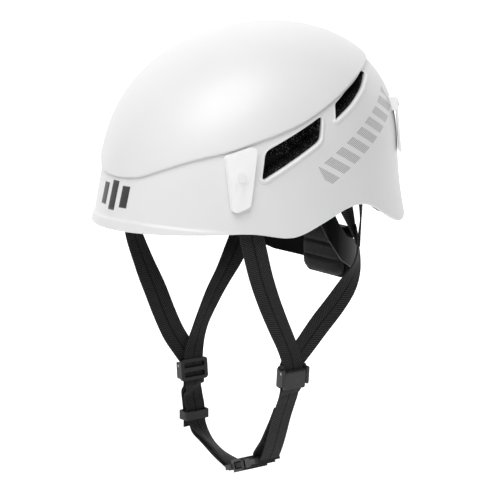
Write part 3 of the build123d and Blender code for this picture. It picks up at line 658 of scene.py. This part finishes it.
def liner_pad(node, low, high, angle_from, angle_to, base, height, channels, rows, columns):
    """Crowned pad on the liner between two heights and two plan angles, with sewn channels."""
    v, u = pad_grid(rows, columns)
    corner = 5.0
    squeeze = (1 - np.abs(v) ** corner) ** (1 / corner)
    angle = (angle_from + angle_to) / 2 + (angle_to - angle_from) / 2 * u * (0.93 + 0.07 * squeeze)
    z = (low + high) / 2 + (high - low) / 2 * v * (1 - np.abs(u) ** (4 * corner) * 0.35)
    crown = ((1 - np.abs(v) ** 4) * (1 - np.abs(u) ** 14)) ** 0.45
    lift = height * crown * sewn(u * channels, 0.55, 0.10, crown)
    under = ring(angle, z, LINER_FACE - base)
    build_pad(node, ring(angle, z, LINER_FACE - base - lift), under)


def build_pad(node, top, under):
    rows, columns = top.shape[:2]
    points = np.concatenate([top.reshape(-1, 3), under.reshape(-1, 3)])
    count = rows * columns
    faces = grid_faces(rows, columns, False)
    faces += [tuple(count + i for i in face)[::-1] for face in grid_faces(rows, columns, False)]
    loop = list(range(columns))
    loop += [r * columns + columns - 1 for r in range(1, rows)]
    loop += [(rows - 1) * columns + c for c in range(columns - 2, -1, -1)]
    loop += [r * columns for r in range(rows - 2, 0, -1)]
    for i, a in enumerate(loop):
        b = loop[(i + 1) % len(loop)]
        faces.append((a, b, count + b, count + a))
    pad = recalc(add_object(f"{node}_cushion", points, faces, PAD, 70))
    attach(pad, "helmet" if node != "nape_pad" else "fit_cradle")
    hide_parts(node)


def make_crown_pad():
    """Pad that follows the roof of the liner, with seams across it."""
    v, u = pad_grid(50, 40)
    x = 27 * u * (1 - 0.25 * np.abs(v) ** 6)
    y = 8 + 46 * v * (1 - 0.12 * np.abs(u) ** 6)
    roof = BELT_Z + DOME_HEIGHT + LINER_FACE
    reach = np.where(y < CENTRE_Y, FRONT_REACH, REAR_REACH) + LINER_FACE
    spread = np.sqrt((x / (HALF_WIDTH + LINER_FACE)) ** 2 + ((y - CENTRE_Y) / reach) ** 2)
    fall = (1 - np.clip(1 - spread ** 2, 0, 1) ** (1 / DOME_POWER)) * (DOME_HEIGHT + LINER_FACE)
    crown = ((1 - np.abs(v) ** 6) * (1 - np.abs(u) ** 6)) ** 0.5
    under = np.stack([x, y, roof - fall - 0.9], -1)
    top = under.copy()
    top[..., 2] -= 0.6 + 4.9 * crown * sewn(v * 2.5 + 0.5, 0.5, 0.08, crown)
    build_pad("crown_pad", top, under)


def make_nape_pad():
    """Pad on the front of the nape housing, with two level seams."""
    v, u = pad_grid(30, 40)
    x = 27 * u * (1 - 0.10 * np.abs(v) ** 6)
    z = -36 + 21 * v * (1 - 0.14 * np.abs(u) ** 6)
    crown = ((1 - np.abs(v) ** 6) * (1 - np.abs(u) ** 6)) ** 0.5
    under = np.stack([x, np.full_like(x, 71.6), z], -1)
    top = under.copy()
    top[..., 1] -= 0.5 + 6.0 * crown * sewn(v * 1.5, 0.5, 0.07, crown)
    build_pad("nape_pad", top, under)


def make_pads():
    """All the pads inside the helmet."""
    liner_pad("forehead_pad", 27, 52, radians(-146), radians(-34), 2.6, 5.0, 7, 26, 80)
    liner_pad("side_pad_left", 53, 65, radians(-40), radians(-16), 0.7, 4.4, 1, 16, 26)
    liner_pad("side_pad_right", 53, 65, radians(-164), radians(-140), 0.7, 4.4, 1, 16, 26)
    make_crown_pad()
    make_nape_pad()


# ---- webbing ----------------------------------------------------------------
WEB_W, WEB_T = 20.0, 1.5
STRAND_W = 15.0
WEB_BEVEL = 0.5
WEB_STEPS = 10                   # steps across each face
SPAN_STEPS = 10                  # steps along, from one station to the next


def web_section(width):
    """Outline of the webbing across its length, flat with tapered edges."""
    half, t = width / 2, WEB_T / 2
    reach = [-half + WEB_BEVEL + (width - 2 * WEB_BEVEL) * k / WEB_STEPS for k in range(WEB_STEPS + 1)]
    upper = [(u, t) for u in reach] + [(half, 0)]
    return np.array(upper + [(-u, -t) for u in reach] + [(-half, 0)])


def ribbon(name, stations, body="helmet", node=None, width=WEB_W):
    """Flat webbing through stations (x, y, z, nx, ny, nz): a centre and the way its face looks."""
    path = catmull(stations, SPAN_STEPS)
    centre, facing = path[:, :3], path[:, 3:]
    ahead = np.gradient(centre, axis=0)
    ahead /= np.linalg.norm(ahead, axis=1)[:, None]
    across = np.cross(ahead, facing)
    across /= np.linalg.norm(across, axis=1)[:, None]
    out = np.cross(across, ahead)
    length = np.concatenate([[0], np.cumsum(np.linalg.norm(np.diff(centre, axis=0), axis=1))])
    section = web_section(width)
    n, m = len(centre), len(section)
    points = centre[:, None] + across[:, None] * section[None, :, :1] + out[:, None] * section[None, :, 1:]
    faces = grid_faces(n, m)
    faces += [tuple(range(m))[::-1], tuple((n - 1) * m + i for i in range(m))]
    strap = add_object(name, points.reshape(-1, 3), faces, WEB, 50)
    layer = strap.data.uv_layers.new(name="UVMap")
    for polygon in strap.data.polygons:
        for loop_index, vertex in zip(polygon.loop_indices, polygon.vertices):
            row, column = divmod(vertex, m)
            layer.data[loop_index].uv = (section[column, 0] * MM, length[row] * MM)
    if body:
        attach(strap, body)
    if node:
        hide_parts(node)
    return strap


def mirrored(stations):
    """Stations of the same strap on the other side."""
    return [(-x, y, z, -a, b, c) for x, y, z, a, b, c in stations]


def make_side_straps():
    """Front and rear straps, and the two strands at the top of each rear strap."""
    front_left = [
        (80.5, -69, 22, 0.97, -0.25, 0), (82.0, -67, 4, 0.95, -0.31, 0),
        (82.4, -63.5, -11, 0.92, -0.38, 0.05), (80.0, -56, -32, 0.94, -0.33, 0.1),
        (77.2, -46, -54, 0.97, -0.22, 0.1), (74.8, -35, -75, 0.99, -0.1, 0.1), (73.6, -26, -92, 1, 0, 0.1),
        (73.2, -20.5, -105, 1, 0, 0.06), (73.7, -19, -113, 1, 0, 0), (73.9, -19, -127, 1, 0, 0),
        (71.8, -18.8, -132.5, 1, 0, -0.3), (69.0, -18.6, -136, 1, 0, -0.3),
    ]
    rear_left = [
        (76.5, 43.5, -2, 0.59, 0.81, 0), (77.2, 45, -14, 0.59, 0.81, 0), (76.0, 46, -30, 0.78, 0.62, 0),
        (74.4, 43, -43, 0.95, 0.3, 0), (73.0, 36, -55, 1, 0, 0.1), (71.8, 25, -68, 0.99, -0.1, 0.15),
        (70.8, 11, -82, 0.99, -0.1, 0.15), (70.0, -3, -97, 1, 0, 0.12), (69.6, -13, -107, 1, 0, 0.05),
        (67.4, -17, -113, 1, 0, 0.1), (66.7, -18.5, -120, 1, 0, 0), (66.7, -18.5, -128, 1, 0, 0),
    ]
    front_right = [
        (81.0, -72, 22, 0.92, -0.38, 0), (83.0, -73, 4, 0.93, -0.36, 0), (83.6, -72, -16, 0.95, -0.30, 0.05),
        (81.4, -62, -46, 0.99, -0.06, 0.1), (79.0, -52.5, -70, 0.92, 0.30, 0.1),
        (77.4, -45, -90, 0.84, 0.50, 0.1), (75.4, -37, -109, 0.88, 0.42, 0.1),
        (73.6, -28, -124, 0.98, 0.12, 0.05), (72.6, -22, -134, 1, 0, 0), (72.4, -20, -144, 1, 0, 0),
        (72.2, -19, -152, 1, 0, 0),
    ]
    rear_right = [
        (77.5, 43.5, -2, 0.59, 0.81, 0), (78.4, 38.8, -30, 0.62, 0.78, 0), (77.2, 29.5, -48, 0.86, 0.45, 0),
        (75.4, 17, -65, 1, 0.04, 0.05), (74.4, 6, -80, 0.99, -0.08, 0.1), (73.4, -6, -100, 0.96, -0.26, 0.1),
        (71.8, -13, -114, 0.97, -0.2, 0.1), (70.8, -17.5, -126, 1, 0, 0.08), (70.6, -18.6, -134, 1, 0, 0),
        (71.0, -19, -144, 1, 0, 0), (70.6, -19, -152, 1, 0, 0),
    ]
    ribbon("front_strap_left_webbing", front_left, node="front_strap_left")
    ribbon("rear_strap_left_webbing", rear_left, node="rear_strap_left")
    ribbon("front_strap_right_webbing", mirrored(front_right), node="front_strap_right")
    ribbon("rear_strap_right_webbing", mirrored(rear_right), node="rear_strap_right")
    inner_strand = [
        (78.4, 24, 34, 0.99, -0.05, 0.1), (78.2, 30, 20, 0.99, 0.05, 0), (77.2, 37.5, 4, 0.85, 0.5, 0),
        (76.4, 43.2, -10, 0.62, 0.78, 0), (76.6, 44.2, -16, 0.59, 0.81, 0),
    ]
    outer_strand = [
        (75.2, 47, 34, 0.85, 0.53, 0), (76.4, 48.4, 20, 0.75, 0.66, 0), (77.6, 48, 5, 0.65, 0.76, 0),
        (77.9, 46.4, -10, 0.59, 0.81, 0), (77.6, 46.2, -18, 0.59, 0.81, 0),
    ]
    for label, turned in (("left", list), ("right", mirrored)):
        node = f"rear_yoke_{label}"
        ribbon(f"{node}_webbing", turned(inner_strand), node=node, width=STRAND_W)
        ribbon(f"{node}_outer_webbing", turned(outer_strand), width=STRAND_W)


def make_chin_straps():
    """Chin straps, their second layers and the strap tail."""
    left = [
        (69.4, -18.5, -118, 1, 0, 0), (69.2, -18.3, -130, 1, 0, 0), (66.2, -17.6, -139, 0.93, 0, -0.36),
        (61.5, -16.6, -147, 0.87, 0, -0.5), (52.5, -15, -163, 0.87, 0, -0.48),
        (42.0, -12, -182, 0.87, 0, -0.5), (33.6, -10, -196, 0.85, 0, -0.52),
        (27.4, -9.2, -204.5, 0.68, 0, -0.73), (23.6, -9, -206.6, 0.1, 0, -1),
    ]
    left_return = [
        (57.6, -15.8, -150, 0.87, 0, -0.5), (50.4, -14.8, -161.5, 0.87, 0, -0.5),
        (42.6, -13.4, -173, 0.87, -0.05, -0.5), (34.0, -12.0, -184, 0.80, 0, -0.6),
        (26.2, -10.4, -192, 0.72, 0, -0.7), (20.0, -9.4, -198.6, 0.80, 0, -0.6),
        (18.4, -9, -203.4, 1, 0, 0.3), (21.6, -9, -206.4, 0.3, 0, 1),
    ]
    right = [
        (-71.6, -18.8, -138, -1, 0, 0), (-70.4, -18.4, -150, -1, 0, 0.1), (-69.6, -17.8, -157.5, -1, 0, -0.2),
        (-73.6, -17, -163.5, -0.8, 0, -0.6), (-75.4, -16, -170, -1, 0, 0.2), (-73.9, -14.8, -180, -1, 0, 0),
        (-74.2, -13.6, -190, -1, -0.1, 0), (-70.4, -12.4, -198.6, -0.8, -0.3, -0.6),
        (-61.0, -11.2, -206.4, -0.5, -0.5, -0.75), (-47.0, -10.2, -212.6, -0.3, -0.5, -0.8),
        (-32.0, -9.4, -217.4, -0.3, -0.3, -0.9), (-16.4, -9, -220.6, -0.1, 0, -1),
    ]
    right_return = [
        (-73.0, -13.8, -191, -1, -0.1, -0.3), (-70.6, -12.6, -202, -0.84, -0.3, -0.54),
        (-60.0, -11.2, -211.2, -0.6, -0.5, -0.7), (-47.0, -10.2, -218.4, -0.3, -0.5, -0.85),
        (-33.0, -9.4, -221.6, -0.2, -0.3, -0.95), (-17.0, -9, -223.4, 0, 0, -1),
    ]
    tail = [
        (-73.2, -18.6, -139, -1, 0, 0), (-72.8, -18.4, -150, -1, 0, 0.1), (-73.6, -17.8, -157, -1, 0, -0.3),
        (-78.0, -16.8, -164, -1, 0, 0.2), (-78.6, -15.6, -174, -1, 0, 0), (-78.4, -14.4, -187, -1, 0, 0),
        (-79.4, -13.8, -198, -1, 0, 0.1),
    ]
    for name, stations, node in (("chin_strap_left_webbing", left, "chin_strap_left"),
                                 ("chin_strap_left_return", left_return, None)):
        strap = ribbon(name, stations, body=None, node=node)
        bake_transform(strap)
    ribbon("chin_strap_right_webbing", right, node="chin_strap_right")
    ribbon("chin_strap_right_return", right_return)
    ribbon("strap_tail_webbing", tail, node="strap_tail")


# ---- hardware ---------------------------------------------------------------
SHARP = 32.0                     # edges above this angle are rounded


def refine(node, material, bevel):
    """A copy of a CAD piece with rounded edges, standing for it."""
    source = frame["nodes"][node]
    mesh = source.data.copy()
    bm = bmesh.new()
    bm.from_mesh(mesh)
    bmesh.ops.remove_doubles(bm, verts=bm.verts, dist=1e-6)
    bmesh.ops.dissolve_limit(bm, angle_limit=radians(1.0), verts=bm.verts, edges=bm.edges)
    bm.to_mesh(mesh)
    bm.free()
    piece = add_mesh(f"{node}_moulded", mesh, material, SHARP)
    modifier = piece.modifiers.new("edge", "BEVEL")
    modifier.width, modifier.segments = bevel * MM, 2
    modifier.limit_method, modifier.angle_limit = "ANGLE", radians(SHARP)
    modifier.harden_normals = True
    apply_modifiers(piece)
    piece.data.materials.clear()
    piece.data.materials.append(material)
    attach(piece, source["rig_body"])
    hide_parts(node)
    return piece


MOULDED = {
    "front_clip_left": (CLIP, 0.5, "clip_white"), "front_clip_right": (CLIP, 0.5, "clip_white"),
    "rear_clip_left": (CLIP, 0.5, "clip_white"), "rear_clip_right": (CLIP, 0.5, "clip_white"),
    "adjuster_frame_left": (BLACK, 0.4, "buckle_black"),
    "adjuster_frame_right": (BLACK, 0.4, "buckle_black"),
    "adjuster_lever_left": (GLOSS, 0.35, "lever_gloss"),
    "adjuster_lever_right": (GLOSS, 0.35, "lever_gloss"), "buckle_socket": (BLACK, 0.5, "buckle_black"),
    "buckle_plug": (BLACK, 0.5, "buckle_black"), "buckle_prong_front": (BLACK, 0.35, "buckle_black"),
    "buckle_prong_rear": (BLACK, 0.35, "buckle_black"), "nape_housing": (CRADLE, 0.6, "cradle_black"),
    "nape_cover": (CRADLE, 0.4, "cradle_black"), "dial_knob": (CRADLE, 0.35, "cradle_black"),
    "strap_keeper": (KEEPER, 0.4, "keeper_rubber"), "cradle_arm_left": (CRADLE, 0.35, "cradle_black"),
    "cradle_arm_right": (CRADLE, 0.35, "cradle_black"), "headband": (CRADLE, 0.3, "cradle_black"),
}
PLAIN = {
    "temple_bushes": CRADLE, "temple_stud_left": CRADLE, "temple_stud_right": CRADLE,
    "headband_plugs": CRADLE, "dial_pinion": CRADLE, "dial_detent_spring": STEEL, "dial_screw": STEEL,
    "housing_screws": STEEL, "strap_anchor_plates": STEEL, "strap_anchor_rivets": STEEL,
    "front_clip_rivets": RIVET, "rear_clip_rivets": RIVET, "adjuster_pin_left": STEEL,
    "adjuster_pin_right": STEEL,
}


def make_hardware():
    """Rounded copies of the moulded pieces; the small ones only get their material."""
    for node, (material, bevel, slot) in MOULDED.items():
        refine(node, material, bevel)
    for node, material in PLAIN.items():
        for entry in frame["nodes"][node].material_slots:
            entry.material = material


# ---- brow mark --------------------------------------------------------------
BAR_W, BAR_Z = 8.4, 32.0
BARS = [(-14, 17), (0, 23), (14, 17)]    # sideways place and height of each bar
PRINT_LIFT, PRINT_WALL = 0.12, 0.1


def make_brow_mark():
    """Plain printed badge on the brow: three upright bars, the middle one taller."""
    rows, columns = 12, 8
    for index, (offset, height) in enumerate(BARS):
        points = []
        for z in BAR_Z + (np.linspace(0, 1, rows) - 0.5) * height:
            for x in np.linspace(-BAR_W / 2, BAR_W / 2, columns) + offset:
                points.append(ring(plan_angle(0, x, z, -pi, 0.0, PRINT_LIFT), z, PRINT_LIFT))
        mark = add_object(f"brow_mark_{index + 1}", points, grid_faces(rows, columns, False), PRINT, 0)
        thicken(mark, PRINT_WALL, 0)
        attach(mark, "helmet")


# ---- stage, light and camera -------------------------------------------------
VIEW_AZIMUTH, VIEW_TILT = radians(54), radians(11)
CAMERA_AT = (1.3534, -0.9919, 0.2970)
LENS = 145.66
FLOOR_DROP = 90                  # of the floor below the lowest piece
FLOOR_REACH, SWEEP_START, SWEEP_R, SWEEP_TOP = 6000, 1800, 1400, 5000


def make_stage():
    """Pale floor that sweeps up behind the helmet and glows, more brightly with depth."""
    floor_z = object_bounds()[0][2] * 1000 - FLOOR_DROP
    profile = [(-FLOOR_REACH, floor_z)]
    profile += [(SWEEP_START + SWEEP_R * sin(a), floor_z + SWEEP_R * (1 - cos(a)))
                for a in np.linspace(0, pi / 2, 16)]
    profile += [(SWEEP_START + SWEEP_R, SWEEP_TOP)]
    points = [(x, depth, height) for depth, height in profile for x in (-FLOOR_REACH, FLOOR_REACH)]
    floor = add_object("studio_floor", points, grid_faces(len(profile), 2, False), sharp=0)
    floor.rotation_euler[2] = VIEW_AZIMUTH
    m = Nodes("studio_white_glow", Roughness=0.95)
    place = m.place()
    depth = m.add("ShaderNodeSeparateXYZ", {0: place}).outputs[1]
    glow_by_depth = {"Value": depth, "From Min": -0.4, "From Max": 0.7, "To Min": 0.12, "To Max": 0.84}
    m.colour(m.ramp(m.noise(2, 2, place), grey(0.80), grey(0.82), 0.3, 0.7))
    # the floor glows though it is no lamp: its emission grows with depth, lighting the helmet from behind and
    # below and whitening the background
    m.shader.inputs["Emission Color"].default_value = grey(1.0)
    glow = m.add("ShaderNodeMapRange", glow_by_depth)
    m.tree.links.new(glow.outputs[0], m.shader.inputs["Emission Strength"])
    floor.data.materials.append(m.material)


def make_light(name, place, target, size, power):
    """Round area light that looks at a target."""
    data = bpy.data.lights.new(name, "AREA")
    data.shape, data.size, data.energy = "DISK", size, power
    lamp = bpy.data.objects.new(name, data)
    bpy.context.scene.collection.objects.link(lamp)
    lamp.location = place
    lamp.rotation_euler = (Vector(target) - Vector(place)).to_track_quat("-Z", "Y").to_euler()


def make_view():
    """Soft studio light, and the camera above and in front of the wearer's left side."""
    scene = bpy.context.scene
    scene.view_settings.view_transform = "Standard"
    world = bpy.data.worlds.new("studio")
    world.use_nodes = True
    background = world.node_tree.nodes["Background"]
    background.inputs[0].default_value = grey(1.0)
    background.inputs[1].default_value = 0.16
    scene.world = world
    make_light("key", (0.72, -1.03, 1.93), (0, 0, 0.05), 2.2, 49)
    make_light("side", (2.1, -0.7, 0.6), (0, 0, 0), 1.6, 2.5)
    turn, tilt = VIEW_AZIMUTH, VIEW_TILT
    back = Vector((sin(turn) * cos(tilt), -cos(turn) * cos(tilt), sin(tilt)))
    right = Vector((cos(turn), sin(turn), 0))
    camera_data = bpy.data.cameras.new("camera")
    camera_data.sensor_width, camera_data.lens = 36, LENS
    camera_data.clip_end = 50
    camera = bpy.data.objects.new("camera", camera_data)
    scene.collection.objects.link(camera)
    rotation = Matrix((right, back.cross(right), back)).transposed().to_4x4()
    camera.matrix_world = Matrix.Translation(Vector(CAMERA_AT)) @ rotation
    scene.camera = camera


make_view()
make_shell()
make_vent_lips()
make_liner()
make_pads()
make_side_straps()
make_chin_straps()
make_hardware()
make_brow_mark()
make_stage()
